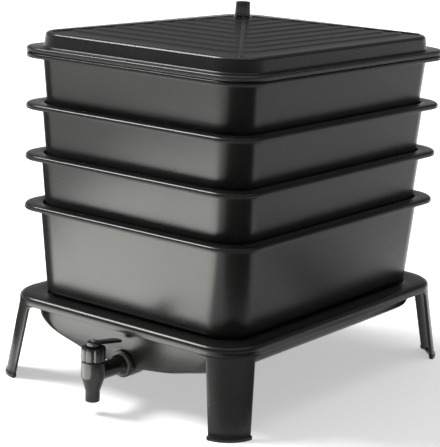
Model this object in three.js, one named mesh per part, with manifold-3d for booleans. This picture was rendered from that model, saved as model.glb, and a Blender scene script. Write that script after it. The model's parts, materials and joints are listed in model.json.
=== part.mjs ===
// Wormery: four nesting worm trays under a low pyramid lid, on a four-legged stand
// with a sump and a lever tap. Millimetres, +Z up, the tap faces -Y.
import * as THREE from 'three';
import { mergeVertices } from 'three/addons/utils/BufferGeometryUtils.js';
import Module from 'manifold-3d';

const wasm = await Module();
wasm.setup();

// Shared by the whole stack
const rimWidth = 424;
const rimDepth = 544;
const rimRadius = 52;
const wall = 3;
const edgeRound = 1.5;
const seat = 0.3;
const overrun = 5;
const cornerSteps = 6;
const filletSteps = 2;

// Trays: tapered walls, a turned-down rim and ribs that carry the tray above
const trayCount = 4;
const trayDepth = 144.3;
const trayPitch = 75;
const trayDraftShare = 0.065;
const trayRimOverhang = 18;
const trayRimDrop = 7.5;
const trayCornerRadius = 47;
const trayFillet = 16;
const trayRibThickness = 5;
const trayRibReach = 28;
const trayRibSpreadShare = 0.25;
const drainHole = 11;
const drainColumns = 5;
const drainRows = 6;
const drainMargin = 14;

// Lid: flat rim, upright crown and a stepped pyramid roof with beaded hips
const lidRimHeight = 7;
const lidLocatorDepth = 8;
const lidLocatorGap = 0.7;
const crownInset = 20;
const crownRadius = 50;
const crownHeight = 21.3;
const crownDraft = 2;
const crownEdgeRound = 2;
const crownBorder = 9;
const roofRise = 24.8;
const roofSteps = 9;
const roofRiser = 1.1;
const summitRadius = 14;
const hipRadius = 2.4;
const hipProud = 0.9;
const hipSides = 6;

// Knob on the lid's summit, held by a screw from below
const knobRadius = 11.6;
const knobTopRadius = 10.4;
const knobHeight = 22;
const knobEdge = 1.5;
const knobFlutes = 12;
const knobFluteDepth = 1.1;
const knobMouthRadius = 7.4;
const knobMouthDepth = 6;
const knobWasherRadius = 7;
const knobWasherThickness = 1.5;
const knobGrip = 9;

// Stand: a skirted ring with a recess and a ledge for the lowest tray
const ringOverhang = 6;
const ringHeight = 128;
const ringRadius = 60;
const ringPlate = 4;
const ringSkirtDrop = 14;
const ringSkirtWall = 3.5;
const ringEdgeRound = 3;
const ringRecessInset = 26.5;
const ringRecessDepth = 7;
const ringLedgeWidth = 30;

// Legs: splayed corner channels whose tongue and pad fix under the ring
const legSplay = 32;
const legFootRadius = 48;
const legTopWidth = 70;
const legFootWidth = 60;
const legWall = 5;
const legFillet = 8;
const legFilletSteps = 3;
const legToeHeight = 6;
const legToeProud = 1.5;
const legSole = 4;
const legTongueThickness = 4;
const legTongueWidth = 52;
const legTongueGap = 1;
const legPadThickness = 4;
const legPadDepth = 13;
const legArcSteps = 6;

// Sump: a pan whose belly rises to the sides and falls towards the tap
const sumpInset = 23;
const sumpDrop = 74.5;
const sumpRadius = 50;
const sumpFrontLean = 4;
const sumpLip = 4;
const sumpFlange = 4;
const sumpLugSize = 16;
const sumpLugSpreadShare = 0.45;
const sumpSliceShares = [
  { height: 0, width: 0.154, reach: 0.2, radius: 0.32 },
  { height: 0.05, width: 0.287, reach: 0.376, radius: 0.4 },
  { height: 0.121, width: 0.492, reach: 0.614, radius: 0.52 },
  { height: 0.2, width: 0.61, reach: 0.752, radius: 0.6 },
  { height: 0.292, width: 0.759, reach: 0.85, radius: 0.72 },
  { height: 0.386, width: 0.872, reach: 0.92, radius: 0.84 },
  { height: 0.52, width: 0.959, reach: 0.97, radius: 0.96 },
  { height: 0.648, width: 0.99, reach: 0.99, radius: 1 },
  { height: 1, width: 1, reach: 1, radius: 1 },
];

// Tap: a body with a threaded tail, a quarter-turn plug, its gland nut and a lever
const tapDrop = 70;
const tapReach = 60;
const tapBossProud = 1.8;
const tapBossThickness = 6;
const tapWellGap = 4;
const tapWellRun = 9.4;
const tapTailRadius = 8;
const tapTailGap = 0.4;
const tapTailEnd = 4;
const tapFlangeRadius = 15.5;
const tapFlangeThickness = 4;
const tapFlangeTaper = 6;
const tapBarrelRadius = 12.5;
const tapBodyRadius = 17;
const tapBodyTop = 20;
const tapSpoutClearance = 18;
const tapShoulderShare = 0.1;
const tapNeckShare = 0.62;
const tapSpoutRadius = 10.5;
const tapSpoutBore = 7;
const tapWaterway = 4.5;
const tapPlugRadius = 11;
const tapPlugGap = 0.3;
const tapPlugDrop = 8;
const tapStemRadius = 5.5;
const tapGlandHeight = 20;
const tapGlandRadius = 17.5;
const tapGlandFlutes = 8;
const tapGlandFluteDepth = 1.8;
const tapHubRadius = 10;
const tapHubHeight = 3.5;
const tapLeverLength = 56;
const tapLeverWidth = 14;
const tapLeverTipWidth = 18;
const tapLeverThickness = 3.5;
const tapLeverEdge = 1.2;
const tapLeverTilt = 8.5;
const tapWasherRadius = 17.5;
const tapInnerWasherRadius = 12.5;
const tapWasherThickness = 3;
const tapNutRadius = 13;
const tapNutThickness = 8;
const nutSides = 6;
const tapRoundSteps = 16;
const leverScrewLength = 10;

// One groove and one land of a fluted grip, as shares of its turn and of the groove's depth
const fluteShares = [
  { turn: 0, dip: 1 },
  { turn: 0.2, dip: 0 },
  { turn: 0.8, dip: 0 },
];

// Pan-head screws for the knob, legs, sump and lever
const screwRadius = 2;
const screwHeadRadius = 4;
const screwHeadHeight = 2.6;
const screwHoleGap = 0.3;
const screwSides = 6;
const screwBite = 2.7;

// Finishes
const finishes = {
  body: { color: '#2c2c2a', roughness: 0.42, metalness: 0 },
  tap: { color: '#242423', roughness: 0.3, metalness: 0 },
  rubber: { color: '#b4b4ae', roughness: 0.8, metalness: 0 },
  steel: { color: '#b9bbbc', roughness: 0.3, metalness: 1 },
};

// Heights and half sizes that follow
const ledgeHeight = ringHeight - ringRecessDepth;
const plateUnderside = ringHeight - ringPlate;
const skirtBottom = ringHeight - ringSkirtDrop;
const lowestTrayHeight = ledgeHeight + seat;
const lidHeight = lowestTrayHeight + (trayCount - 1) * trayPitch + trayDepth + seat;
const lidRimTop = lidRimHeight;
const crownTop = lidRimTop + crownHeight;
const summitHeight = crownTop + roofRise;
const mouthInset = trayRimOverhang + wall;
const ringCorner = new THREE.Vector2(
  rimWidth / 2 + ringOverhang - ringRadius,
  rimDepth / 2 + ringOverhang - ringRadius,
);
const flangeTop = plateUnderside - seat;
const sumpBottom = ringHeight - sumpDrop;
const tapHeight = ringHeight - tapDrop;
const tapSpoutDrop = tapHeight - tapSpoutClearance;
const sumpHalfWidth = rimWidth / 2 + ringOverhang - sumpInset;
const sumpHalfDepth = rimDepth / 2 + ringOverhang - sumpInset;
const screwHoleRadius = screwRadius + screwHoleGap;

// Points counter-clockwise round a rectangle with rounded corners, as many for any size
function roundedLoop(halfWidth, halfDepth, radius, height, shiftY = 0) {
  const points = [];
  const corners = [[1, 1], [-1, 1], [-1, -1], [1, -1]];
  corners.forEach(([sideX, sideY], quarter) => {
    for (let step = 0; step <= cornerSteps; step += 1) {
      const angle = (quarter + step / cornerSteps) * Math.PI / 2;
      const x = sideX * (halfWidth - radius) + radius * Math.cos(angle);
      const y = sideY * (halfDepth - radius) + radius * Math.sin(angle) + shiftY;
      points.push(new THREE.Vector3(x, y, height));
    }
  });
  return points;
}

// The same loop, given as an inset from the edge of the tray rims
function insetLoop(inset, radius, height) {
  return roundedLoop(rimWidth / 2 - inset, rimDepth / 2 - inset, radius, height);
}

// Points round a circle with a groove between each two lands
function flutedLoop(radius, flutes, fluteDepth, height) {
  return Array.from({ length: flutes }, (_, flute) => fluteShares.map(({ turn, dip }) => {
    const angle = (flute + turn) / flutes * 2 * Math.PI;
    const reach = radius - dip * fluteDepth;
    return new THREE.Vector3(reach * Math.cos(angle), reach * Math.sin(angle), height);
  })).flat();
}

// Points round a curved band: out along its outer arc and back along its inner one
function bandLoop(centre, radius, thickness, halfAngle, height) {
  const arcs = [[radius, 1], [radius - thickness, -1]];
  return arcs.flatMap(([reach, turn]) => Array.from({ length: legArcSteps + 1 }, (_, step) => {
    const angle = turn * halfAngle * (2 * step / legArcSteps - 1);
    return new THREE.Vector3(centre + reach * Math.cos(angle), reach * Math.sin(angle), height);
  }));
}

// The steps of a quarter round between a level floor and a wall
function quarterRound(radius) {
  return Array.from({ length: filletSteps + 1 }, (_, step) => {
    const angle = step / filletSteps * Math.PI / 2;
    return { inset: radius * (1 - Math.sin(angle)), rise: radius * (1 - Math.cos(angle)) };
  });
}

// A closed geometry as a manifold solid with its faces pointing out
function solid(geometry) {
  const bare = geometry.clone();
  bare.deleteAttribute('normal');
  bare.deleteAttribute('uv');
  const merged = mergeVertices(bare);
  const vertProperties = new Float32Array(merged.getAttribute('position').array);
  const triVerts = new Uint32Array(merged.getIndex().array);
  const made = new wasm.Manifold(new wasm.Mesh({ numProp: 3, vertProperties, triVerts }));
  if (made.volume() > 0) {
    return made;
  }
  return new wasm.Manifold(new wasm.Mesh({ numProp: 3, vertProperties, triVerts: triVerts.reverse() }));
}

// Joins loops of equal count into one solid, capped at its ends or closed into a frame
function loft(loops, closed = false) {
  const count = loops[0].length;
  const indices = [];
  const bands = closed ? loops.length : loops.length - 1;
  for (let band = 0; band < bands; band += 1) {
    const low = band * count;
    const high = (band + 1) % loops.length * count;
    for (let side = 0; side < count; side += 1) {
      const next = (side + 1) % count;
      indices.push(low + side, low + next, high + next);
      indices.push(low + side, high + next, high + side);
    }
  }
  if (!closed) {
    const last = (loops.length - 1) * count;
    for (const [a, b, c] of capTriangles(loops[0])) {
      indices.push(c, b, a);
    }
    for (const [a, b, c] of capTriangles(loops.at(-1))) {
      indices.push(last + a, last + b, last + c);
    }
  }
  const geometry = new THREE.BufferGeometry();
  const positions = loops.flat().flatMap((point) => point.toArray());
  geometry.setAttribute('position', new THREE.Float32BufferAttribute(positions, 3));
  geometry.setIndex(indices);
  return solid(geometry);
}

function capTriangles(loop) {
  return THREE.ShapeUtils.triangulateShape(loop.map(({ x, y }) => new THREE.Vector2(x, y)), []);
}

// A box given by its size, its centre in plan and its lowest and highest level
function block(sizeX, sizeY, low, high, x = 0, y = 0) {
  const geometry = new THREE.BoxGeometry(sizeX, sizeY, high - low);
  return solid(geometry.translate(x, y, (low + high) / 2));
}

// An upright cylinder between two levels
function post(radius, low, high, sides, x = 0, y = 0) {
  const geometry = new THREE.CylinderGeometry(radius, radius, high - low, sides).rotateX(Math.PI / 2);
  return solid(geometry.translate(x, y, (low + high) / 2));
}

// A cylinder that lies along Y, from one place to another
function spindle(radius, from, to, sides) {
  const geometry = new THREE.CylinderGeometry(radius, radius, to - from, sides);
  return solid(geometry.translate(0, (from + to) / 2, 0));
}

// A round bar between two points in space
function bar(start, end, radius, sides) {
  const along = new THREE.Vector3().subVectors(end, start);
  const geometry = new THREE.CylinderGeometry(radius, radius, along.length(), sides);
  const cylinderAxis = new THREE.Vector3(0, 1, 0);
  geometry.applyQuaternion(new THREE.Quaternion().setFromUnitVectors(cylinderAxis, along.normalize()));
  const middle = new THREE.Vector3().addVectors(start, end).multiplyScalar(1 / 2);
  return solid(geometry.translate(middle.x, middle.y, middle.z));
}

// A solid turned about the upright axis from [radius, level] points that start and end on it
function turned(outline, sides) {
  const points = outline.map(([radius, level]) => new THREE.Vector2(radius, level));
  return solid(new THREE.LatheGeometry(points, sides).rotateX(Math.PI / 2));
}

// Lays a solid that stands on the upright axis along Y
function laid(shape) {
  const quarterTurn = 90;
  return shape.rotate([-quarterTurn, 0, 0]);
}

function joined(solids) {
  return solids.reduce((whole, next) => whole.add(next));
}

// A mesh of a solid, placed in a parent group and returned for any further turn
function addPiece(parent, name, finish, shape, x = 0, y = 0, z = 0) {
  const { vertProperties, triVerts } = shape.getMesh();
  const geometry = new THREE.BufferGeometry();
  geometry.setAttribute('position', new THREE.Float32BufferAttribute(vertProperties, 3));
  geometry.setIndex(Array.from(triVerts));
  geometry.computeVertexNormals();
  const mesh = new THREE.Mesh(geometry, new THREE.MeshStandardMaterial(finishes[finish]));
  mesh.name = name;
  mesh.position.set(x, y, z);
  parent.add(mesh);
  return mesh;
}

// The tray's outer wall at a height above its own floor, as an inset from the rim
function trayWallInset(height) {
  return trayRimOverhang + (trayDepth - height) * trayDraftShare;
}

function trayOutside() {
  const foot = trayWallInset(trayFillet);
  const rimUnderside = trayDepth - wall;
  const rimEdge = [
    [wall, rimUnderside],
    [wall, trayDepth - trayRimDrop],
    [0, trayDepth - trayRimDrop],
    [0, trayDepth - edgeRound],
    [edgeRound, trayDepth],
  ];
  const footRound = quarterRound(trayFillet);
  return loft([
    ...footRound.map(({ inset, rise }) => insetLoop(foot + inset, trayCornerRadius - inset, rise)),
    insetLoop(trayWallInset(rimUnderside), trayCornerRadius, rimUnderside),
    ...rimEdge.map(([inset, height]) => insetLoop(inset, rimRadius - inset, height)),
  ]);
}

function trayInside() {
  const foot = trayWallInset(trayFillet) + wall;
  const radius = trayCornerRadius - wall;
  const floorRound = quarterRound(trayFillet - wall);
  return loft([
    ...floorRound.map(({ inset, rise }) => insetLoop(foot + inset, radius - inset, wall + rise)),
    insetLoop(mouthInset, radius, trayDepth),
    insetLoop(mouthInset, radius, trayDepth + overrun),
  ]);
}

// Two ribs inside each wall, as high as the floor of the tray that nests above
const ribTop = trayPitch - seat;
const ribInset = trayWallInset(ribTop) + wall + trayRibReach;

function trayRibs() {
  const halfWidth = rimWidth / 2;
  const halfDepth = rimDepth / 2;
  const ribs = [];
  for (const side of [-1, 1]) {
    for (const end of [-1, 1]) {
      const x = side * (halfWidth - ribInset / 2);
      const y = side * (halfDepth - ribInset / 2);
      ribs.push(block(ribInset, trayRibThickness, 0, ribTop, x, end * trayRibSpreadShare * rimDepth));
      ribs.push(block(trayRibThickness, ribInset, 0, ribTop, end * trayRibSpreadShare * rimWidth, y));
    }
  }
  return joined(ribs);
}

// Places spread over the middle of the floor, with the margin kept at both ends
function spreadPlaces(halfSpan, count) {
  const reach = halfSpan - drainMargin;
  return Array.from({ length: count }, (_, index) => reach * (2 * index / (count - 1) - 1));
}

// Drain holes on a grid, clear of the ribs
function trayDrain() {
  const columns = spreadPlaces(rimWidth / 2 - ribInset, drainColumns);
  const rows = spreadPlaces(rimDepth / 2 - ribInset, drainRows);
  return joined(columns.flatMap((x) => rows.map((y) => (
    block(drainHole, drainHole, -overrun, wall + overrun, x, y)))));
}

function trayShape() {
  return trayOutside().subtract(trayInside().subtract(trayRibs())).subtract(trayDrain());
}

// The roof climbs from a loop inside the crown's border to the round summit
const roofInset = crownInset + crownBorder;
const roofFoot = insetLoop(roofInset, crownRadius - crownBorder, crownTop);
const roofSummit = roundedLoop(summitRadius, summitRadius, summitRadius, summitHeight);

function roofLoop(share, drop) {
  return roofFoot.map((point, index) => {
    const place = point.clone().lerp(roofSummit[index], share);
    return place.setZ(place.z - drop);
  });
}

function lidOutside() {
  const locatorInset = mouthInset + lidLocatorGap;
  const profile = [
    [locatorInset + lidLocatorGap, trayCornerRadius - wall - lidLocatorGap, -lidLocatorDepth],
    [locatorInset, trayCornerRadius - wall, lidRimTop - wall],
    [wall, rimRadius - wall, lidRimTop - wall],
    [wall, rimRadius - wall, 0],
    [0, rimRadius, 0],
    [0, rimRadius, lidRimTop - edgeRound],
    [edgeRound, rimRadius - edgeRound, lidRimTop],
    [crownInset - crownDraft, crownRadius, lidRimTop],
    [crownInset, crownRadius, crownTop - crownEdgeRound],
    [crownInset + crownEdgeRound, crownRadius - crownEdgeRound, crownTop],
  ];
  const loops = profile.map(([inset, radius, height]) => insetLoop(inset, radius, height));
  loops.push(roofLoop(0, 0));
  for (let step = 1; step < roofSteps; step += 1) {
    loops.push(roofLoop(step / roofSteps, roofRiser / 2));
    loops.push(roofLoop(step / roofSteps, -roofRiser / 2));
  }
  loops.push(roofLoop(1, 0));
  return loft(loops);
}

function lidInside() {
  const locatorBore = mouthInset + 2 * lidLocatorGap + wall;
  const radius = trayCornerRadius - 2 * wall - lidLocatorGap;
  return loft([
    insetLoop(locatorBore, radius, -lidLocatorDepth - overrun),
    insetLoop(locatorBore, radius, lidRimTop),
    insetLoop(crownInset + wall, crownRadius - wall, crownTop - wall),
    roofLoop(0, wall),
    roofLoop(1, wall),
  ]);
}

// A round bead along each hip, from the roof's corner to the summit
function hipBeads() {
  const drop = new THREE.Vector3(0, 0, hipProud - hipRadius);
  const quarters = [0, 1, 2, 3];
  return joined(quarters.map((quarter) => {
    const corner = quarter * (cornerSteps + 1) + cornerSteps / 2;
    const start = roofFoot[corner].clone().add(drop);
    return bar(start, roofSummit[corner].clone().add(drop), hipRadius, hipSides);
  }));
}

function lidShape() {
  const hole = post(screwHoleRadius, summitHeight - wall - overrun, summitHeight + overrun, screwSides);
  return lidOutside().add(hipBeads()).subtract(lidInside()).subtract(hole);
}

function knobShape() {
  const levels = [
    [knobRadius - knobEdge, 0],
    [knobRadius, knobEdge],
    [knobTopRadius, knobHeight - knobEdge],
    [knobTopRadius - knobEdge, knobHeight],
  ];
  const grip = loft(levels.map(([radius, height]) => flutedLoop(radius, knobFlutes, knobFluteDepth, height)));
  const mouth = post(knobMouthRadius, knobHeight - knobMouthDepth, knobHeight + overrun, tapRoundSteps);
  const bore = post(screwHoleRadius, -overrun, knobGrip + seat, screwSides);
  return grip.subtract(mouth).subtract(bore);
}

function washerShape(radius, bore, thickness, sides) {
  return post(radius, 0, thickness, sides).subtract(post(bore, -overrun, thickness + overrun, sides));
}

// A screw that points up, with the underside of its head at level zero
function screwShape(length) {
  return turned([
    [0, -screwHeadHeight],
    [(screwRadius + screwHeadRadius) / 2, -screwHeadHeight],
    [screwHeadRadius, 0],
    [screwRadius, 0],
    [screwRadius, length],
    [0, length],
  ], screwSides);
}

// Where a screw goes up through a flange or pad into the ring
const fixingLength = seat + sumpFlange + seat + screwBite;
const fixingHoleTop = plateUnderside + screwBite + seat;
const tongueRadius = ringRadius - ringSkirtWall - legTongueGap;
const padFixingRadius = tongueRadius - legTongueThickness - legPadDepth / 2;
const lugOffset = sumpLip + screwHeadRadius + seat;

const sumpFixings = [-1, 1].flatMap((side) => {
  const sideName = side < 0 ? 'left' : 'right';
  const endName = side < 0 ? 'front' : 'back';
  const x = side * (sumpHalfWidth + lugOffset);
  const y = sumpLugSpreadShare * sumpHalfDepth;
  return [
    { name: `${sideName}_front`, x, y: -y },
    { name: `${sideName}_back`, x, y },
    { name: `${endName}_middle`, x: 0, y: side * (sumpHalfDepth + lugOffset) },
  ];
});

const corners = [
  { name: 'front_left', sideX: -1, sideY: -1 },
  { name: 'front_right', sideX: 1, sideY: -1 },
  { name: 'back_left', sideX: -1, sideY: 1 },
  { name: 'back_right', sideX: 1, sideY: 1 },
];

function cornerPlace({ sideX, sideY }, reach) {
  const along = reach * Math.SQRT1_2;
  return [sideX * (ringCorner.x + along), sideY * (ringCorner.y + along)];
}

function ringShape() {
  const skirtInset = ringSkirtWall - ringOverhang;
  const recessOutside = ringRecessInset - ringSkirtWall;
  const ledgeEdge = ringRecessInset + ringLedgeWidth;
  const recessRadius = trayCornerRadius;
  const shoulder = ringEdgeRound * (1 - Math.SQRT1_2);
  const profile = [
    [-ringOverhang, ringRadius, skirtBottom],
    [-ringOverhang, ringRadius, ringHeight - ringEdgeRound],
    [shoulder - ringOverhang, ringRadius - shoulder, ringHeight - shoulder],
    [ringEdgeRound - ringOverhang, ringRadius - ringEdgeRound, ringHeight],
    [ringRecessInset, recessRadius, ringHeight],
    [ringRecessInset, recessRadius, ledgeHeight],
    [ledgeEdge, recessRadius - ringLedgeWidth, ledgeHeight],
    [ledgeEdge, recessRadius - ringLedgeWidth, ledgeHeight - ringPlate],
    [recessOutside, recessRadius + ringSkirtWall, ledgeHeight - ringPlate],
    [recessOutside, recessRadius + ringSkirtWall, plateUnderside],
    [skirtInset, ringRadius - ringSkirtWall, plateUnderside],
    [skirtInset, ringRadius - ringSkirtWall, skirtBottom],
  ];
  const frame = loft(profile.map(([inset, radius, height]) => insetLoop(inset, radius, height)), true);
  const places = sumpFixings.map(({ x, y }) => [x, y]);
  places.push(...corners.map((corner) => cornerPlace(corner, padFixingRadius)));
  const holes = places.map(([x, y]) => (
    post(screwHoleRadius, plateUnderside - overrun, fixingHoleTop, screwSides, x, y)));
  return frame.subtract(joined(holes));
}

// The leg at a height: its splay, its radius, half its width and its thickness
function legSection(height, spread) {
  const share = height / (skirtBottom - seat);
  const radius = THREE.MathUtils.lerp(legFootRadius, ringRadius, share);
  const halfWidth = THREE.MathUtils.lerp(legFootWidth, legTopWidth, share) / 2;
  const flare = spread / legFillet;
  return {
    centre: legSplay * (1 - share),
    radius,
    halfAngle: Math.asin((halfWidth + spread) / radius),
    thickness: legWall + legTongueThickness * flare,
  };
}

// Built about the centre of a ring corner, with the leg splaying towards +X
function legShape() {
  const top = skirtBottom - seat;
  const loops = [];
  for (const height of [0, legToeHeight]) {
    const { centre, radius, halfAngle, thickness } = legSection(height, 0);
    const toeAngle = halfAngle + legToeProud / radius;
    loops.push(bandLoop(centre, radius + legToeProud, thickness + legToeProud, toeAngle, height));
  }
  const heights = [{ height: legToeHeight, spread: 0 }];
  for (let step = 0; step <= legFilletSteps; step += 1) {
    const angle = step / legFilletSteps * Math.PI / 2;
    const height = top - legFillet * (1 - Math.sin(angle));
    heights.push({ height, spread: legFillet * (1 - Math.cos(angle)) });
  }
  for (const { height, spread } of heights) {
    const { centre, radius, halfAngle, thickness } = legSection(height, spread);
    loops.push(bandLoop(centre, radius, thickness, halfAngle, height));
  }
  const tongueAngle = Math.asin(legTongueWidth / 2 / tongueRadius);
  const band = (thickness, low) => loft([low, flangeTop].map((height) => (
    bandLoop(0, tongueRadius, thickness, tongueAngle, height))));
  const tongue = band(legTongueThickness, top - edgeRound);
  const pad = band(legTongueThickness + legPadDepth, flangeTop - legPadThickness);
  const padHole = post(
    screwHoleRadius, flangeTop - legPadThickness - overrun, flangeTop + overrun, screwSides, padFixingRadius);
  return joined([loft(loops), legSolePlate(), tongue, pad]).subtract(padHole);
}

// The plate that closes the foot of the channel, out to the chord between its edges
function legSolePlate() {
  const { centre, radius, halfAngle } = legSection(0, 0);
  const loops = [0, legSole].map((height) => Array.from({ length: legArcSteps + 1 }, (_, step) => {
    const angle = halfAngle * (2 * step / legArcSteps - 1);
    return new THREE.Vector3(centre + radius * Math.cos(angle), radius * Math.sin(angle), height);
  }));
  return loft(loops);
}

// One level of the sump: narrow and short low down, full size at the rim
function sumpLoop({ height, width, reach, radius }, inset, rise) {
  const front = -sumpHalfDepth + sumpFrontLean * (1 - height) + inset;
  const rear = front + 2 * sumpHalfDepth * reach - sumpFrontLean * (1 - height) - 2 * inset;
  const level = THREE.MathUtils.lerp(sumpBottom, flangeTop - sumpFlange, height) + rise;
  const halfWidth = sumpHalfWidth * width - inset;
  return roundedLoop(halfWidth, (rear - front) / 2, sumpRadius * radius - inset, level, (front + rear) / 2);
}

function sumpInside() {
  const rim = sumpSliceShares.at(-1);
  return loft([
    ...sumpSliceShares.slice(0, -1).map((slice) => sumpLoop(slice, wall, wall)),
    sumpLoop(rim, wall, 0),
    sumpLoop(rim, wall, sumpFlange + overrun),
  ]);
}

function sumpShape() {
  const rim = sumpSliceShares.at(-1);
  const outside = loft([
    ...sumpSliceShares.map((slice) => sumpLoop(slice, 0, 0)),
    sumpLoop(rim, -sumpLip, 0),
    sumpLoop(rim, -sumpLip, sumpFlange),
  ]);
  const lugs = sumpFixings.map(({ x, y }) => (
    block(sumpLugSize, sumpLugSize, flangeTop - sumpFlange, flangeTop, x, y)));
  const holes = sumpFixings.map(({ x, y }) => (
    post(screwHoleRadius, flangeTop - sumpFlange - overrun, flangeTop + overrun, screwSides, x, y)));
  const wellSeat = atTap(tapBossRadius + seat, tapBossFace - overrun, tapWellEnd + seat);
  return joined([outside, ...lugs]).subtract(joined([sumpInside(), wellSeat, ...holes]));
}

// The tap's boss and the round well behind it, which fill the gap in the pan's floor and front
function sumpWellShape() {
  const boss = atTap(tapBossRadius, tapBossFace, tapInnerFace);
  const bossHole = atTap(tapTailRadius + tapTailGap, tapBossFace - overrun, tapInnerFace + overrun);
  const hollow = atTap(tapBossRadius - wall, tapInnerFace, tapWellEnd - wall);
  return atTap(tapBossRadius, tapBossFace, tapWellEnd)
    .subtract(sumpInside())
    .add(boss)
    .subtract(joined([hollow, bossHole]));
}

// A cylinder along Y at the level of the tap's tail
function atTap(radius, from, to) {
  return spindle(radius, from, to, tapRoundSteps).translate([0, 0, tapHeight]);
}

// The boss and its well are wide enough for the nut inside them
const tapBossRadius = tapNutRadius + tapWellGap + wall;

// Places along the tap's tail, from the lever's axis back to the end of the well
const tapBossFace = -sumpHalfDepth - tapBossProud;
const tapAxis = tapBossFace - tapReach;
const tapFlangeBack = tapBossFace - 2 * seat - tapWasherThickness;
const tapInnerFace = tapBossFace + tapBossThickness;
const tapNutFace = tapInnerFace + 2 * seat + tapWasherThickness;
const tapTailInnerEnd = tapNutFace + tapNutThickness + tapTailEnd;
const tapWellEnd = tapTailInnerEnd + tapWellRun + wall;

// Levels of the tap's moving pieces above its tail's axis
const plugChamberFloor = -tapPlugDrop - seat;
const glandFloor = tapBodyTop + seat;
const glandTop = glandFloor + tapGlandHeight;
const hubFloor = glandTop + seat;
const leverFloor = hubFloor + tapHubHeight;
const leverTop = leverFloor + tapLeverThickness;
const stemTop = leverFloor + tapLeverEdge;

function tapBodyShape() {
  const flangeBack = tapFlangeBack - tapAxis;
  const flangeFront = flangeBack - tapFlangeThickness;
  const tailEnd = tapTailInnerEnd - tapAxis;
  const spout = [
    [0, -tapSpoutDrop],
    [tapSpoutRadius, -tapSpoutDrop],
    [tapSpoutRadius, -tapNeckShare * tapSpoutDrop],
    [tapBodyRadius, -tapShoulderShare * tapSpoutDrop],
    [tapBodyRadius, tapBodyTop - edgeRound],
    [tapBodyRadius - edgeRound, tapBodyTop],
    [0, tapBodyTop],
  ];
  const tail = [
    [0, 0],
    [tapBarrelRadius, 0],
    [tapBarrelRadius, flangeFront - tapFlangeTaper],
    [tapFlangeRadius, flangeFront],
    [tapFlangeRadius, flangeBack],
    [tapTailRadius, flangeBack],
    [tapTailRadius, tailEnd],
    [0, tailEnd],
  ];
  const waterway = spindle(tapWaterway, 0, tailEnd + overrun, tapRoundSteps);
  const chamber = post(tapPlugRadius + tapPlugGap, plugChamberFloor, tapBodyTop + overrun, tapRoundSteps);
  const outlet = post(tapSpoutBore, -tapSpoutDrop - overrun, plugChamberFloor + seat, tapRoundSteps);
  return turned(spout, tapRoundSteps)
    .add(laid(turned(tail, tapRoundSteps)))
    .subtract(joined([waterway, chamber, outlet]));
}

function tapPlugShape() {
  const plug = post(tapPlugRadius, -tapPlugDrop, tapBodyTop, tapRoundSteps);
  const stem = post(tapStemRadius, 0, stemTop, tapRoundSteps);
  const inlet = spindle(tapWaterway, 0, tapPlugRadius + overrun, tapRoundSteps);
  const outlet = post(tapWaterway, -tapPlugDrop - overrun, 0, tapRoundSteps);
  const screwHole = post(screwHoleRadius, glandFloor, leverTop, screwSides);
  return joined([plug, stem]).subtract(joined([inlet, outlet, screwHole]));
}

function tapGlandShape() {
  const levels = [
    [tapGlandRadius - edgeRound, glandFloor],
    [tapGlandRadius, glandFloor + edgeRound],
    [tapGlandRadius, glandTop - edgeRound],
    [tapGlandRadius - edgeRound, glandTop],
  ];
  const grip = levels.map(([radius, height]) => (
    flutedLoop(radius, tapGlandFlutes, tapGlandFluteDepth, height)));
  const bore = post(tapStemRadius + tapPlugGap, glandFloor - overrun, glandTop + overrun, tapRoundSteps);
  return loft(grip).subtract(bore);
}

// A washer or nut round the tap's tail, from level zero along Y
function tapRing(radius, thickness, sides) {
  const bore = spindle(tapTailRadius + tapTailGap, -overrun, thickness + overrun, tapRoundSteps);
  return spindle(radius, 0, thickness, sides).subtract(bore);
}

// The lever is a flat paddle that widens and falls towards its tip, on a hub round the stem
function tapLeverShape() {
  const paddle = new THREE.Shape();
  paddle.absarc(0, 0, tapHubRadius, Math.PI, 2 * Math.PI);
  const tipRadius = tapLeverTipWidth / 2;
  paddle.lineTo(tapLeverWidth / 2, tapHubRadius);
  paddle.absarc(0, tapLeverLength - tipRadius, tipRadius, 0, Math.PI);
  paddle.lineTo(-tapLeverWidth / 2, tapHubRadius);
  paddle.closePath();
  const sheet = new THREE.ExtrudeGeometry(paddle, {
    depth: tapLeverThickness - 2 * tapLeverEdge,
    bevelThickness: tapLeverEdge,
    bevelSize: tapLeverEdge,
    bevelOffset: -tapLeverEdge,
    bevelSegments: 1,
    curveSegments: filletSteps * 2,
  });
  const plate = solid(sheet.translate(0, 0, tapLeverEdge)).rotate([-tapLeverTilt, 0, 0]);
  const hub = post(tapHubRadius, hubFloor, leverFloor + tapLeverThickness / 2, tapRoundSteps);
  const socket = post(tapStemRadius + seat, hubFloor - overrun, stemTop + seat, tapRoundSteps);
  const hole = post(screwHoleRadius, leverFloor, leverTop + overrun, screwSides);
  const screwSeat = post(screwHeadRadius + seat, leverTop, leverTop + overrun, tapRoundSteps);
  return joined([plate.translate([0, 0, leverFloor]), hub]).subtract(joined([socket, hole, screwSeat]));
}

// The assembly, built about the plan centre of the trays with the floor at level zero
const assembly = new THREE.Group();

for (let index = 1; index <= trayCount; index += 1) {
  const height = lowestTrayHeight + (trayCount - index) * trayPitch;
  addPiece(assembly, `tray_${index}`, 'body', trayShape(), 0, 0, height);
}

const top = new THREE.Group();
top.position.z = lidHeight;
assembly.add(top);
const washerLevel = summitHeight - wall - seat - knobWasherThickness;
const knobScrewLength = seat + knobWasherThickness + seat + wall + seat + knobGrip - screwRadius;
addPiece(top, 'lid', 'body', lidShape());
addPiece(top, 'lid_knob', 'tap', knobShape(), 0, 0, summitHeight + seat);
addPiece(top, 'knob_washer', 'steel',
  washerShape(knobWasherRadius, screwHoleRadius, knobWasherThickness, tapRoundSteps), 0, 0, washerLevel);
addPiece(top, 'knob_screw', 'steel', screwShape(knobScrewLength), 0, 0, washerLevel - seat);

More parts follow.
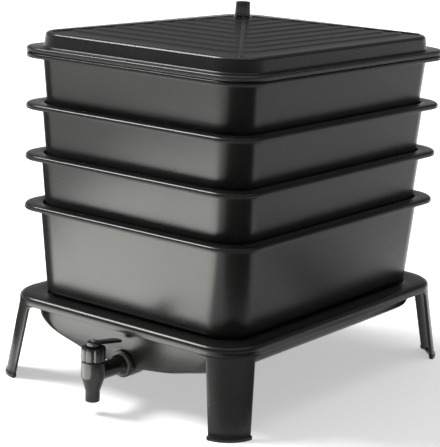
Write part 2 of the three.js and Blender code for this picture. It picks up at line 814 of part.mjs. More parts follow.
addPiece(assembly, 'base_ring', 'body', ringShape());
const fixingHeight = flangeTop - sumpFlange - seat;
for (const corner of corners) {
  const stand = new THREE.Group();
  const [x, y] = cornerPlace(corner, 0);
  stand.position.set(x, y, 0);
  stand.rotation.z = Math.atan2(corner.sideY, corner.sideX);
  assembly.add(stand);
  addPiece(stand, `leg_${corner.name}`, 'body', legShape());
  addPiece(stand, `leg_screw_${corner.name}`, 'steel', screwShape(fixingLength),
    padFixingRadius, 0, fixingHeight);
}

addPiece(assembly, 'sump', 'body', sumpShape());
addPiece(assembly, 'sump_well', 'body', sumpWellShape());
for (const { name, x, y } of sumpFixings) {
  addPiece(assembly, `sump_screw_${name}`, 'steel', screwShape(fixingLength), x, y, fixingHeight);
}

const tap = new THREE.Group();
tap.position.set(0, tapAxis, tapHeight);
assembly.add(tap);
addPiece(tap, 'tap_body', 'tap', tapBodyShape());
addPiece(tap, 'tap_plug', 'tap', tapPlugShape());
addPiece(tap, 'tap_gland_nut', 'tap', tapGlandShape());
addPiece(tap, 'tap_lever', 'tap', tapLeverShape());
const leverScrew = addPiece(tap, 'tap_lever_screw', 'steel', screwShape(leverScrewLength),
  0, 0, leverTop + seat);
leverScrew.rotation.x = Math.PI;
addPiece(tap, 'tap_washer_outer', 'rubber', tapRing(tapWasherRadius, tapWasherThickness, tapRoundSteps),
  0, tapBossFace - seat - tapWasherThickness - tapAxis);
addPiece(tap, 'tap_washer_inner', 'rubber', tapRing(tapInnerWasherRadius, tapWasherThickness, tapRoundSteps),
  0, tapInnerFace + seat - tapAxis);
addPiece(tap, 'tap_back_nut', 'tap', tapRing(tapNutRadius, tapNutThickness, nutSides),
  0, tapNutFace - tapAxis);

// Ships the whole group on the floor, centred in plan on everything that it holds
const bounds = new THREE.Box3().setFromObject(assembly, true);
const middle = bounds.getCenter(new THREE.Vector3());
assembly.position.set(-middle.x, -middle.y, -bounds.min.z);

const wormery = new THREE.Group();
wormery.add(assembly);

export default wormery;
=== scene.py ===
"""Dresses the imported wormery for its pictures.

Finer meshes stand for the CAD nodes that show, every piece gets a node-based material, and a
pale studio and a camera at the photograph's angle go round them. Lengths are in millimetres,
about the plan centre of the trays, but lamps, the camera and the relief of surfaces are in metres.
"""

import json
import math

import bpy
from mathutils import Matrix, Quaternion, Vector


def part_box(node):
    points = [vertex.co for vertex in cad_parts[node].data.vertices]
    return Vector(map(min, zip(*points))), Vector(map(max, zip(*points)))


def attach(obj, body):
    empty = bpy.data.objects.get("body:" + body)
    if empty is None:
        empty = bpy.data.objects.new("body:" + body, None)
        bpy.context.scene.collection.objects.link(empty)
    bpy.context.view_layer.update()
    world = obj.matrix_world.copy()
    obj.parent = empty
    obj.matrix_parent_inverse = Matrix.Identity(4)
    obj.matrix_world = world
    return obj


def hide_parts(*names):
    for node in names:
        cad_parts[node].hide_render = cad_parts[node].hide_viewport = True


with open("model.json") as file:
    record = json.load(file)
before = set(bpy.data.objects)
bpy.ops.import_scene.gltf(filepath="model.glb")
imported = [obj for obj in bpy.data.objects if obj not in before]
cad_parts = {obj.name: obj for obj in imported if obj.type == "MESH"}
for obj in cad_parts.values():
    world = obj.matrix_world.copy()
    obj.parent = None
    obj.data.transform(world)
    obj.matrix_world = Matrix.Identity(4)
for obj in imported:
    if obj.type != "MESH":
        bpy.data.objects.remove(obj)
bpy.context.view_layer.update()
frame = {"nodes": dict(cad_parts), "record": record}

MM = 0.001
CORNER_STEPS = 14
ROUND_STEPS = 4
ARC_STEPS = 18
SMOOTH_ANGLE = math.radians(32)
OVERRUN = 4.0
SEAT_GAP = 0.3

# The trays' plan, shared by the lid and the stand
RIM_WIDTH = 424.0
RIM_DEPTH = 544.0
RIM_CORNER = 52.0
WALL = 3.0

# Tray
TRAY_COUNT = 4
TRAY_DEPTH = 144.3
TRAY_DRAFT_SHARE = 0.065
TRAY_OVERHANG = 18.0
TRAY_DROP = 7.5
TRAY_CORNER = 47.0
TRAY_FILLET = 16.0
TRAY_RIM_EDGE = 4.2
FLOOR_REACH = 24.0
RIB_TOP = 74.7
RIB_LEVELS = (1.5, 3.0, 5.0, 8.0, 12.0, 16.0, RIB_TOP)
RIB_REACH = 28.0
RIB_THICKNESS = 5.0
RIB_EDGE = 1.2
RIB_SPREAD_SHARE = 0.25
DRAIN = 11.0
DRAIN_CORNER = 2.0
DRAIN_COLUMNS = 5
DRAIN_ROWS = 6
DRAIN_MARGIN = 14.0

# Lid
LID_RIM = 7.0
LID_RIM_EDGE = 2.8
LOCATOR_DEPTH = 8.0
LOCATOR_GAP = 0.7
LOCATOR_DRAFT = 0.7
CROWN_INSET = 20.0
CROWN_DRAFT = 2.0
CROWN_CORNER = 50.0
CROWN_TOP = 28.3
CROWN_EDGE = 5.5
CROWN_BORDER = 9.0
ROOF_RISE = 24.8
ROOF_STEPS = 9
ROOF_RISER = 1.1
SUMMIT_RADIUS = 14.0
HIP_RADIUS = 2.4
HIP_PROUD = 1.7
HIP_SIDES = 20
SCREW_BORE = 2.3
HOLE_SIDES = 16

# A riser from foot to head: places as shares of the whole climb, heights as shares of its own
RISER_SHARES = ((-0.012, -0.5), (-0.007, -0.46), (-0.003, -0.25), (0.003, 0.25), (0.007, 0.46), (0.012, 0.5))

# The round foot of a bead, as shares of its radius: how wide, how far out and how rounded
HIP_FOOT_SHARES = (0.3, 0.7, 0.6)

# Knob: rows of radius, level, edge radius and share of the grooves
KNOB_ROWS = (
    (SCREW_BORE, 9.3, 0, 0),
    (SCREW_BORE, 0, 0.3, 0),
    (11.6, 0, 1.2, 1),
    (10.4, 22, 1.3, 1),
    (7.4, 22, 0.6, 0),
    (7.0, 16, 0.8, 0),
    (1.5, 16, 0, 0),
)
KNOB_FLUTES = 12
KNOB_FLUTE_DEPTH = 1.1
KNOB_SMOOTH_ANGLE = math.radians(50)
FLUTE_SAMPLES = 12

# Ring
RING_HEIGHT = 128.0
RING_CORNER = 60.0
RING_OVERHANG = 6.0
RING_PLATE = 4.0
RING_WALL = 3.5
RING_EDGE = 7.0
RING_RECESS = 26.5
RECESS_DEPTH = 7.0
LEDGE_WIDTH = 30.0
SKIRT_BOTTOM = 114.0
FLANGE_TOP = RING_HEIGHT - RING_PLATE - SEAT_GAP

# Legs
LEG_SPLAY = 32.0
LEG_TOP = SKIRT_BOTTOM - SEAT_GAP
LEG_WALL = 5.0
LEG_EDGE = 1.4
LEG_LEVELS = range(14, 98, 7)
LEG_FILLET = 8.0
LEG_FILLET_STEPS = 8
LEG_SWELL = 4.0
FOOT_RADIUS = 48.0
FOOT_HALF_WIDTH = 30.0
LEG_TOP_HALF_WIDTH = 35.0
SOLE_THICKNESS = 4.0
TONGUE_THICKNESS = 4.0
TONGUE_GAP = 1.0
TONGUE_HALF_WIDTH = 26.0
TONGUE_BITE = 1.5
PAD_THICKNESS = 4.0
PAD_DEPTH = 13.0

# The toe, by level and how far it stands proud
TOE_ROWS = ((0, 0.7), (0.6, 1.3), (1.4, 1.5), (4.8, 1.5), (5.6, 1.1), (6.2, 0.4), (7, 0))

# Sump
SUMP_INSET = 23.0
SUMP_HALF_WIDTH = RIM_WIDTH / 2 + RING_OVERHANG - SUMP_INSET
SUMP_HALF_DEPTH = RIM_DEPTH / 2 + RING_OVERHANG - SUMP_INSET
SUMP_BOTTOM = 53.5
SUMP_FLANGE = 4.0
SUMP_TOP = FLANGE_TOP - SUMP_FLANGE
SUMP_CORNER = 50.0
SUMP_LEAN = 4.0
SUMP_PARTS = 3
LUG_SIZE = 16.0
LUG_CORNER = 2.0
LUG_OFFSET = 8.3
LUG_SPREAD_SHARE = 0.45

# The lip round the sump's flange, by inset and rise
LIP_ROWS = ((-3.4, 0), (-4, 0.6), (-4, 3.4), (-3.4, 4))

# The belly from bottom to top: shares of the height, width, depth and corner radius
SUMP_SLICE_SHARES = (
    (0.0, 0.154, 0.2, 0.32),
    (0.05, 0.287, 0.376, 0.4),
    (0.121, 0.492, 0.614, 0.52),
    (0.2, 0.61, 0.752, 0.6),
    (0.292, 0.759, 0.85, 0.72),
    (0.386, 0.872, 0.92, 0.84),
    (0.52, 0.959, 0.97, 0.96),
    (0.648, 0.99, 0.99, 1.0),
    (1.0, 1.0, 1.0, 1.0),
)

# Boss and well of the sump, about the tap's tail
TAP_LEVEL = 58.0
TAP_SIDES = 56
BOSS_PROUD = 1.8
BOSS_RADIUS = 20.0
BOSS_PLATE = 6.0
BOSS_EDGE = 1.2
BOSS_BORE = 8.4
WELL_DEPTH = 34.0
WELL_EDGE = 3.0
HOLLOW_EDGES = (1.5, 2.0)

# Tap, about the lever's axis at the level of its tail: rows of radius, level and edge radius
BODY_ROWS = ((0, -40, 0), (10.5, -40, 0.9), (10.5, -24.8, 10), (17, -4, 14), (17, 20, 1.3), (0, 20, 0))
SPOUT_ROWS = ((0, -45, 0), (7, -45, 0), (7, -10, 0), (0, -10, 0))
HUB_ROWS = ((0, -3.5, 0), (10, -3.5, 0.6), (10, 1.8, 0), (0, 1.8, 0))
SPOT_ROWS = ((0, 3.5, 0), (4.4, 3.5, 0), (4.4, 9, 0), (0, 9, 0))
BORE_SIDES = 40

# Its tail and waterway, by radius, place along Y and edge radius
TAIL_ROWS = (
    (0, 0, 0),
    (12.5, 0, 0),
    (12.5, 46.4, 5),
    (15.5, 52.4, 1.0),
    (15.5, 56.4, 0.8),
    (8, 56.4, 0),
    (8, 81.6, 0.8),
    (0, 81.6, 0),
)
WATERWAY_ROWS = ((0, 18, 0), (4.5, 18, 0), (4.5, 90, 0), (0, 90, 0))

# Gland nut: rows of radius, level, edge radius and share of the grooves
GLAND_ROWS = (
    (5.8, 20.3, 0, 0),
    (17.5, 20.3, 1.6, 1),
    (17.5, 40.3, 2.2, 1),
    (10.6, 40.3, 0.4, 0),
    (10.2, 39.3, 0.3, 0),
    (5.8, 39.3, 0, 0),
)
GLAND_FLUTES = 8
GLAND_FLUTE_DEPTH = 1.8
GLAND_SMOOTH_ANGLE = math.radians(40)

# Lever: levels with the shrink of its outline, and ends by first angle, radius and place along Y
LEVER_LEVELS = ((0, 1.2), (0.35, 0.4), (1.0, 0), (2.5, 0), (3.15, 0.4), (3.5, 1.2))
LEVER_ENDS = ((math.pi, 10.0, 0.0), (0.0, 9.0, 47.0))
LEVER_WAIST = (7.0, 10.0)
LEVER_STEPS = 16
LEVER_HEIGHT = 44.1
LEVER_TILT = math.radians(8.5)

# Finishes: dark and light tones, ranges of roughness, scales of grain and depths of relief
BLACK = ((0.008, 0.008, 0.0075), (0.013, 0.013, 0.0122))
GLOSS = ((0.007, 0.007, 0.007), (0.012, 0.012, 0.0115))
STEEL = ((0.42, 0.43, 0.44), (0.56, 0.57, 0.58))
RUBBER = ((0.14, 0.14, 0.13), (0.22, 0.22, 0.2))
TINT_SHARES = (0.3, 0.7)
SATIN_ROUGHNESS = (0.22, 0.30)
LID_ROUGHNESS = (0.24, 0.32)
TAP_ROUGHNESS = (0.14, 0.26)
STEEL_ROUGHNESS = (0.22, 0.42)
RUBBER_ROUGHNESS = (0.62, 0.85)
PLASTIC_IOR = 1.42
GRAIN_SCALE = 2600
TAP_GRAIN_SCALE = 1800
GRAIN_DEPTH = 0.00003
WALL_WAVES = 0.0003
SMALL_WAVES = 0.0002
BRUSH_DEPTH = 0.00005
RUBBER_DEPTH = 0.0002

# Studio
FLOOR_HALF = 30000
FLOOR_TONE = 0.9
FLOOR_GLOW = 0.45
FLOOR_ROUGHNESS = 0.9
FLOOR_SPECULAR = 0.1
SKY_LIGHT = 0.18
HAZE_LOW = 0.02
HAZE_TOP = 0.2
KEY_SOURCE = (-0.59, -0.23, 0.78)
KEY_STRENGTH = 3.3
KEY_ANGLE = math.radians(24)
WHITE = (1, 1, 1)
WARM = (1, 1, 0.94)
CARD_LEVEL = 1

# Oval lamps: name, place, target, size, power and tint
LAMPS = (
    ("top", (0, 0.3, 3.0), (0, 0, 0), (2.8, 2.8), 22, WHITE),
    ("low", (-0.22, -0.63, 0.002), (-0.22, -0.63, 1), (0.68, 0.6), 6.2, WARM),
    ("far", (-1.0, -1.7, 0.002), (-1.0, -1.7, 1), (1.3, 1.1), 7.5, WARM),
)

# Cards on the floor, seen by reflections alone, that paint darker reflections into the glossy surfaces:
# name, tone and corners
REFLECTION_SHADE_CARDS = (
    ("front_shade_card", 0.002, ((300, -430), (480, 60), (2200, 620), (2300, -2300), (400, -2300))),
    ("left_shade_card", 0.05, ((-420, -330), (-2600, -1300), (-2600, 900), (-420, 300))),
    ("right_shade_card", 0.7, ((310, 220), (1500, 700), (24000, 28000), (3000, 28000), (380, 900))),
)

# Camera
AZIMUTH = math.radians(37.06)
ELEVATION = math.radians(13.24)
ROLL = math.radians(2.4)
DISTANCE = 2.472
TARGET = (-0.0466, 0.0494, 0.2123)
LENS = 126.2
SENSOR = 36
CLIP_END = 100


def plan_centre():
    low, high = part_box("tray_1")
    return (low + high) / 2


CENTRE = plan_centre()


# Outlines and profiles


def rounded_loop(half_width, half_depth, radius, level, shift=0.0):
    """Points round a rectangle with rounded corners, counter-clockwise from +X."""
    loop = []
    for quarter, (side_x, side_y) in enumerate(((1, 1), (-1, 1), (-1, -1), (1, -1))):
        for step in range(CORNER_STEPS + 1):
            angle = (quarter + step / CORNER_STEPS) * math.pi / 2
            x = side_x * (half_width - radius) + radius * math.cos(angle)
            y = side_y * (half_depth - radius) + radius * math.sin(angle) + shift
            loop.append(Vector((x, y, level)))
    return loop


def inset_loop(inset, radius, level):
    return rounded_loop(RIM_WIDTH / 2 - inset, RIM_DEPTH / 2 - inset, radius, level)


def circle_loop(radius, level, count):
    angles = [2 * math.pi * index / count for index in range(count)]
    return [Vector((radius * math.cos(a), radius * math.sin(a), level)) for a in angles]


def fluted_loop(radius, flutes, depth, level, sharp):
    """A circle with smooth grooves cut into it, the narrower the sharper."""
    count = flutes * FLUTE_SAMPLES
    loop = []
    for index in range(count):
        angle = 2 * math.pi * index / count
        reach = radius - depth * (0.5 + 0.5 * math.cos(flutes * angle)) ** sharp
        loop.append(Vector((reach * math.cos(angle), reach * math.sin(angle), level)))
    return loop


def softened(rows, closed=False):
    """Rounds a profile's corners with arcs. A row is across, up, ..., and last the radius."""
    points = []
    count = len(rows)
    for index, row in enumerate(rows):
        here = Vector(row[:-1])
        at_end = not closed and index in (0, count - 1)
        if at_end or not row[-1]:
            points.append(here)
            continue
        before = Vector(rows[index - 1][:-1]) - here
        after = Vector(rows[(index + 1) % count][:-1]) - here
        flat_before = before.to_2d()
        flat_after = after.to_2d()
        turn = math.pi - flat_before.angle(flat_after)
        reach = row[-1] * math.tan(turn / 2)
        start = here + before * (reach / flat_before.length)
        end = here + after * (reach / flat_after.length)
        weight = math.cos(turn / 2)
        for step in range(ROUND_STEPS + 1):
            t = step / ROUND_STEPS
            parts = ((1 - t) ** 2, 2 * weight * t * (1 - t), t * t)
            whole = sum(parts)
            points.append((start * parts[0] + here * parts[1] + end * parts[2]) / whole)
    return points


def inset_loops(rows, closed=False):
    """Loops for a profile whose rows are inset, level, plan radius and edge radius."""
    return [inset_loop(x, r, z) for x, z, r in softened(rows, closed)]


# Meshes


def mesh_from(name, points, faces):
    mesh = bpy.data.meshes.new(name)
    mesh.from_pydata([tuple(p * MM) for p in points], [], faces)
    mesh.validate()
    mesh.update()
    return mesh


def loft(name, loops, closed=False):
    """Joins loops of equal count with four-sided faces, and caps them unless closed."""
    count = len(loops[0])
    bands = len(loops) if closed else len(loops) - 1
    faces = []
    for band in range(bands):
        low = band * count
        high = (band + 1) % len(loops) * count
        for side in range(count):
            after = (side + 1) % count
            faces.append((low + side, low + after, high + after, high + side))
    if not closed:
        last = (len(loops) - 1) * count
        faces.append(tuple(reversed(range(count))))
        faces.append(tuple(range(last, last + count)))
    mesh = mesh_from(name, [p for loop in loops for p in loop], faces)
    return outward(mesh)


def outward(mesh):
    """Turns the faces of a closed mesh so that they look out."""
    volume = 0.0
    for face in mesh.polygons:
        ring = [mesh.vertices[i].co for i in face.vertices]
        for b, c in zip(ring[1:], ring[2:]):
            volume += ring[0].dot(b.cross(c))
    if volume < 0:
        mesh.flip_normals()
    return mesh


def lathe(name, rows, count):
    """A solid turned about Z from rows of radius, level and edge radius, with flat caps."""
    points = [p for p in softened(rows) if p.x > 0]
    return loft(name, [circle_loop(p.x, p.y, count) for p in points])


def level_lathe(name, rows):
    """A solid turned about Y from rows of radius, place along Y and edge radius."""
    return turned(lathe(name, rows, TAP_SIDES), -math.pi / 2, "X")


def fluted_loft(name, rows, flutes, depth, sharp):
    """A turned solid whose rows say last what share of the grooves they have."""
    points = softened([(r, z, share, edge) for r, z, edge, share in rows])
    return loft(name, [fluted_loop(p.x, flutes, depth * p.z, p.y, sharp) for p in points])


def plate(name, size, low, high, radius, x, y):
    """An upright square block with rounded corners."""
    loops = [rounded_loop(size / 2, size / 2, radius, level) for level in (low, high)]
    return moved(loft(name, loops), (x, y, 0))


def moved(mesh, offset, turn=None):
    matrix = Matrix.Translation(Vector(offset) * MM)
    mesh.transform(matrix @ turn if turn else matrix)
    return mesh


def turned(mesh, angle, axis="Z"):
    mesh.transform(Matrix.Rotation(angle, 4, axis))
    return mesh


def combined(mesh, others, operation):
    """Adds meshes to a mesh or cuts them from it, and returns the result."""
    target = bpy.data.objects.new("target", mesh)
    bpy.context.scene.collection.objects.link(target)
    tools = []
    for other in others:
        tool = bpy.data.objects.new("tool", other)
        bpy.context.scene.collection.objects.link(tool)
        change = target.modifiers.new("change", "BOOLEAN")
        change.operation = operation
        change.solver = "MANIFOLD"
        change.object = tool
        tools.append(tool)
    graph = bpy.context.evaluated_depsgraph_get()
    result = bpy.data.meshes.new_from_object(target.evaluated_get(graph))
    result.name = mesh.name
    for item in (target, *tools):
        bpy.data.objects.remove(item)
    return result


def added(mesh, others):
    return combined(mesh, others, "UNION")


def cut(mesh, others):
    return combined(mesh, others, "DIFFERENCE")


def smoothed(mesh, angle=SMOOTH_ANGLE):
    mesh.shade_smooth()
    mesh.set_sharp_from_angle(angle=angle)
    return mesh


def place(name, mesh, material, nodes, body, location=(0, 0, 0)):
    """Shows a mesh in the place of one or more CAD nodes, riding on their body."""
    mesh.materials.clear()
    mesh.materials.append(material)
    piece = bpy.data.objects.new(name, mesh)
    bpy.context.scene.collection.objects.link(piece)
    piece.location = Vector(location) * MM + Vector((CENTRE.x, CENTRE.y, 0))
    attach(piece, body)
    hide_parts(*nodes)


# Materials


def node_tree(material):
    material.use_nodes = True
    nodes = material.node_tree.nodes
    nodes.clear()
    shader = nodes.new("ShaderNodeBsdfPrincipled")
    output = nodes.new("ShaderNodeOutputMaterial")
    material.node_tree.links.new(shader.outputs["BSDF"], output.inputs["Surface"])
    return nodes, material.node_tree.links, shader


def new_material(slot):
    """A material named after its slot, with its nodes, links, shader and object coordinates."""
    material = bpy.data.materials.new(slot)
    material["slot"] = slot
    nodes, links, shader = node_tree(material)
    coordinates = nodes.new("ShaderNodeTexCoord").outputs["Object"]
    return material, nodes, links, shader, coordinates


def noise(nodes, links, coordinates, scale, detail, roughness=0.5):
    texture = nodes.new("ShaderNodeTexNoise")
    texture.inputs["Scale"].default_value = scale
    texture.inputs["Detail"].default_value = detail
    texture.inputs["Roughness"].default_value = roughness
    links.new(coordinates, texture.inputs["Vector"])
    return texture.outputs["Fac"]


def span(nodes, links, value, low, high, start=0, end=1):
    """Maps a value that runs from start to end on to the range from low to high."""
    ranged = nodes.new("ShaderNodeMapRange")
    links.new(value, ranged.inputs["Value"])
    ranged.inputs["From Min"].default_value = start
    ranged.inputs["From Max"].default_value = end
    ranged.inputs["To Min"].default_value = low
    ranged.inputs["To Max"].default_value = high
    return ranged.outputs["Result"]


def larger(nodes, links, first, second):
    greatest = nodes.new("ShaderNodeMath")
    greatest.operation = "MAXIMUM"
    links.new(first, greatest.inputs[0])
    links.new(second, greatest.inputs[1])
    return greatest.outputs["Value"]


def tinted(nodes, links, value, tones):
    """A colour that runs from a dark tone to a light one over the middle of a value."""
    ramp = nodes.new("ShaderNodeValToRGB")
    for stop, share, tone in zip(ramp.color_ramp.elements, TINT_SHARES, tones):
        stop.position = share
        stop.color = (*tone, 1)
    links.new(value, ramp.inputs["Fac"])
    return ramp.outputs["Color"]


def bumped(nodes, links, height, distance, under=None):
    bump = nodes.new("ShaderNodeBump")
    bump.inputs["Distance"].default_value = distance
    links.new(height, bump.inputs["Height"])
    if under:
        links.new(under, bump.inputs["Normal"])
    return bump.outputs["Normal"]


def plastic(slot, tones, roughness, grain_scale, waves):
    """Moulded plastic: mottled colour, uneven gloss, a fine grain and slow waves."""
    material, nodes, links, shader, coordinates = new_material(slot)
    mottle = noise(nodes, links, coordinates, scale=14, detail=4, roughness=0.6)
    links.new(tinted(nodes, links, mottle, tones), shader.inputs["Base Color"])
    patches = noise(nodes, links, coordinates, scale=22, detail=5, roughness=0.65)
    links.new(span(nodes, links, patches, *roughness), shader.inputs["Roughness"])
    shader.inputs["IOR"].default_value = PLASTIC_IOR
    slow = bumped(nodes, links, noise(nodes, links, coordinates, scale=9, detail=1), waves)
    fine = noise(nodes, links, coordinates, grain_scale, detail=2)
    links.new(bumped(nodes, links, fine, GRAIN_DEPTH, slow), shader.inputs["Normal"])
    return material


def steel(slot):
    material, nodes, links, shader, coordinates = new_material(slot)
    shader.inputs["Metallic"].default_value = 1.0
    brushed = noise(nodes, links, coordinates, scale=900, detail=3)
    links.new(tinted(nodes, links, brushed, STEEL), shader.inputs["Base Color"])
    links.new(span(nodes, links, brushed, *STEEL_ROUGHNESS), shader.inputs["Roughness"])
    links.new(bumped(nodes, links, brushed, BRUSH_DEPTH), shader.inputs["Normal"])
    return material


def rubber(slot):
    material, nodes, links, shader, coordinates = new_material(slot)
    mottle = noise(nodes, links, coordinates, scale=300, detail=4)
    links.new(tinted(nodes, links, mottle, RUBBER), shader.inputs["Base Color"])
    links.new(span(nodes, links, mottle, *RUBBER_ROUGHNESS), shader.inputs["Roughness"])
    links.new(bumped(nodes, links, mottle, RUBBER_DEPTH), shader.inputs["Normal"])
    return material


tray_plastic = plastic("tray_plastic", BLACK, SATIN_ROUGHNESS, GRAIN_SCALE, WALL_WAVES)
lid_plastic = plastic("lid_plastic", BLACK, LID_ROUGHNESS, GRAIN_SCALE, SMALL_WAVES)
stand_plastic = plastic("stand_plastic", BLACK, SATIN_ROUGHNESS, GRAIN_SCALE, WALL_WAVES)
tap_plastic = plastic("tap_plastic", GLOSS, TAP_ROUGHNESS, TAP_GRAIN_SCALE, SMALL_WAVES)
screw_steel = steel("screw_steel")
washer_rubber = rubber("washer_rubber")


# Trays


def tray_wall(level):
    return TRAY_OVERHANG + (TRAY_DEPTH - level) * TRAY_DRAFT_SHARE


def tray_mesh():
    """The whole shell as one profile: floor, wall, turned-down rim and inside."""
    rows = [
        (tray_wall(0) + FLOOR_REACH, 0, TRAY_CORNER - FLOOR_REACH, 0),
        (tray_wall(0), 0, TRAY_CORNER, TRAY_FILLET),
        (tray_wall(TRAY_DEPTH - WALL), TRAY_DEPTH - WALL, TRAY_CORNER, 2.5),
        (WALL, TRAY_DEPTH - WALL, RIM_CORNER - WALL, 1.0),
        (WALL, TRAY_DEPTH - TRAY_DROP, RIM_CORNER - WALL, 0.8),
        (0, TRAY_DEPTH - TRAY_DROP, RIM_CORNER, 0.9),
        (0, TRAY_DEPTH, RIM_CORNER, TRAY_RIM_EDGE),
        (TRAY_OVERHANG + WALL, TRAY_DEPTH, TRAY_CORNER - WALL, 1.2),
        (tray_wall(WALL) + WALL, WALL, TRAY_CORNER - WALL, TRAY_FILLET - WALL),
        (tray_wall(WALL) + WALL + FLOOR_REACH, WALL, TRAY_CORNER - WALL - FLOOR_REACH, 0),
    ]
    shell = loft("tray", inset_loops(rows))
    return cut(added(shell, tray_ribs()), tray_drains())


def rib_inset():
    return tray_wall(RIB_TOP) + WALL + RIB_REACH


def tray_ribs():
    """Upright plates inside the walls that carry the tray above."""
    ribs = []
    for quarter in range(4):
        half, other = (RIM_WIDTH / 2, RIM_DEPTH) if quarter % 2 == 0 else (RIM_DEPTH / 2, RIM_WIDTH)
        for end in (-1, 1):
            loops = [rib_loop(half, end * RIB_SPREAD_SHARE * other, level) for level in RIB_LEVELS]
            ribs.append(turned(loft("rib", loops), quarter * math.pi / 2))
    return ribs


def fillet_inset(level):
    """How far in from the wall's line the rounded edge of the floor is."""
    drop = max(TRAY_FILLET - level, 0)
    return TRAY_FILLET - math.sqrt(TRAY_FILLET ** 2 - drop ** 2)


def rib_loop(half, along, level):
    """A level of a rib on the +X wall, which leans out with the wall."""
    outer = half - tray_wall(level) - fillet_inset(level) - WALL / 2
    inner = half - rib_inset()
    loop = rounded_loop((outer - inner) / 2, RIB_THICKNESS / 2, RIB_EDGE, level)
    return [p + Vector(((outer + inner) / 2, along, 0)) for p in loop]


def spread(half_span, count):
    """Places spread over the middle of the floor, with the margin kept at both ends."""
    reach = half_span - DRAIN_MARGIN
    return [reach * (2 * index / (count - 1) - 1) for index in range(count)]


def tray_drains():
    columns = spread(RIM_WIDTH / 2 - rib_inset(), DRAIN_COLUMNS)
    rows = spread(RIM_DEPTH / 2 - rib_inset(), DRAIN_ROWS)
    return [
        plate("drain", DRAIN, -OVERRUN, WALL + OVERRUN, DRAIN_CORNER, x, y)
        for x in columns
        for y in rows
    ]


def add_trays():
    mesh = smoothed(tray_mesh())
    for index in range(1, TRAY_COUNT + 1):
        node = f"tray_{index}"
        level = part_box(node)[0].z / MM
        place(f"{node}_shell", mesh, tray_plastic, (node,), f"tray_{index}_lift", (0, 0, level))


# Lid


def roof_loop(share, rise):
    """A loop on the roof: share 0 at the crown's border and 1 at the summit."""
    foot = inset_loop(CROWN_INSET + CROWN_BORDER, CROWN_CORNER - CROWN_BORDER, CROWN_TOP)
    summit = rounded_loop(SUMMIT_RADIUS, SUMMIT_RADIUS, SUMMIT_RADIUS, CROWN_TOP + ROOF_RISE)
    lift = Vector((0, 0, rise))
    return [a.lerp(b, share) + lift for a, b in zip(foot, summit)]


def roof_loops():
    """The roof from its foot to its summit, with a rounded riser between treads."""
    loops = [roof_loop(0, 0)]
    for step in range(1, ROOF_STEPS):
        for shift, height in RISER_SHARES:
            loops.append(roof_loop(step / ROOF_STEPS + shift, height * ROOF_RISER))
    loops.append(roof_loop(1, 0))
    return loops


def lid_mesh():
    """The lid as one profile: locator, rim, crown and roof, with beads on the hips."""
    locator = TRAY_OVERHANG + WALL + LOCATOR_GAP
    inner = locator + LOCATOR_DRAFT + WALL
    inner_corner = TRAY_CORNER - 2 * WALL - LOCATOR_DRAFT
    rows = [
        (CROWN_INSET + WALL, CROWN_TOP - WALL, CROWN_CORNER - WALL, 0),
        (inner, LID_RIM, inner_corner, 2.0),
        (inner, -LOCATOR_DEPTH, inner_corner, 0.8),
        (locator + LOCATOR_DRAFT, -LOCATOR_DEPTH, TRAY_CORNER - WALL - LOCATOR_DRAFT, 0.8),
        (locator, LID_RIM - WALL, TRAY_CORNER - WALL, 0.5),
        (WALL, LID_RIM - WALL, RIM_CORNER - WALL, 1.0),
        (WALL, 0, RIM_CORNER - WALL, 0.8),
        (0, 0, RIM_CORNER, 0.9),
        (0, LID_RIM, RIM_CORNER, LID_RIM_EDGE),
        (CROWN_INSET - CROWN_DRAFT, LID_RIM, CROWN_CORNER, 2.0),
        (CROWN_INSET, CROWN_TOP, CROWN_CORNER, CROWN_EDGE),
        (CROWN_INSET + CROWN_BORDER, CROWN_TOP, CROWN_CORNER - CROWN_BORDER, 0),
    ]
    ceiling = [roof_loop(1, -WALL), roof_loop(0, -WALL)]
    shell = loft("lid", ceiling + inset_loops(rows)[:-1] + roof_loops())
    hole_rows = [(SCREW_BORE, CROWN_TOP, 0), (SCREW_BORE, CROWN_TOP + ROOF_RISE + OVERRUN, 0)]
    return cut(added(shell, hip_beads()), [lathe("hole", hole_rows, HOLE_SIDES)])


def hip_beads():
    """A round bead up each hip of the roof, with round ends."""
    beads = []
    foot = roof_loop(0, 0)
    summit = roof_loop(1, 0)
    drop = Vector((0, 0, HIP_PROUD - HIP_RADIUS))
    width, reach, edge = (HIP_RADIUS * share for share in HIP_FOOT_SHARES)
    for quarter in range(4):
        corner = quarter * (CORNER_STEPS + 1) + CORNER_STEPS // 2
        start = foot[corner] + drop
        end = summit[corner] + drop
        along = end - start
        rows = [(width, -reach, 0), (HIP_RADIUS, 0, edge), (HIP_RADIUS, along.length, 0)]
        bead = lathe("bead", rows, HIP_SIDES)
        beads.append(moved(bead, start, along.to_track_quat("Z", "Y").to_matrix().to_4x4()))
    return beads


def add_lid():
    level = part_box("lid")[0].z / MM + LOCATOR_DEPTH
    place("lid_shell", smoothed(lid_mesh()), lid_plastic, ("lid",), "lid_lift", (0, 0, level))
    knob_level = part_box("lid_knob")[0].z / MM
    knob = fluted_loft("knob", KNOB_ROWS, KNOB_FLUTES, KNOB_FLUTE_DEPTH, sharp=2)
    smoothed(knob, KNOB_SMOOTH_ANGLE)
    place("knob_grip", knob, tap_plastic, ("lid_knob",), "lid_lift", (0, 0, knob_level))


# Stand


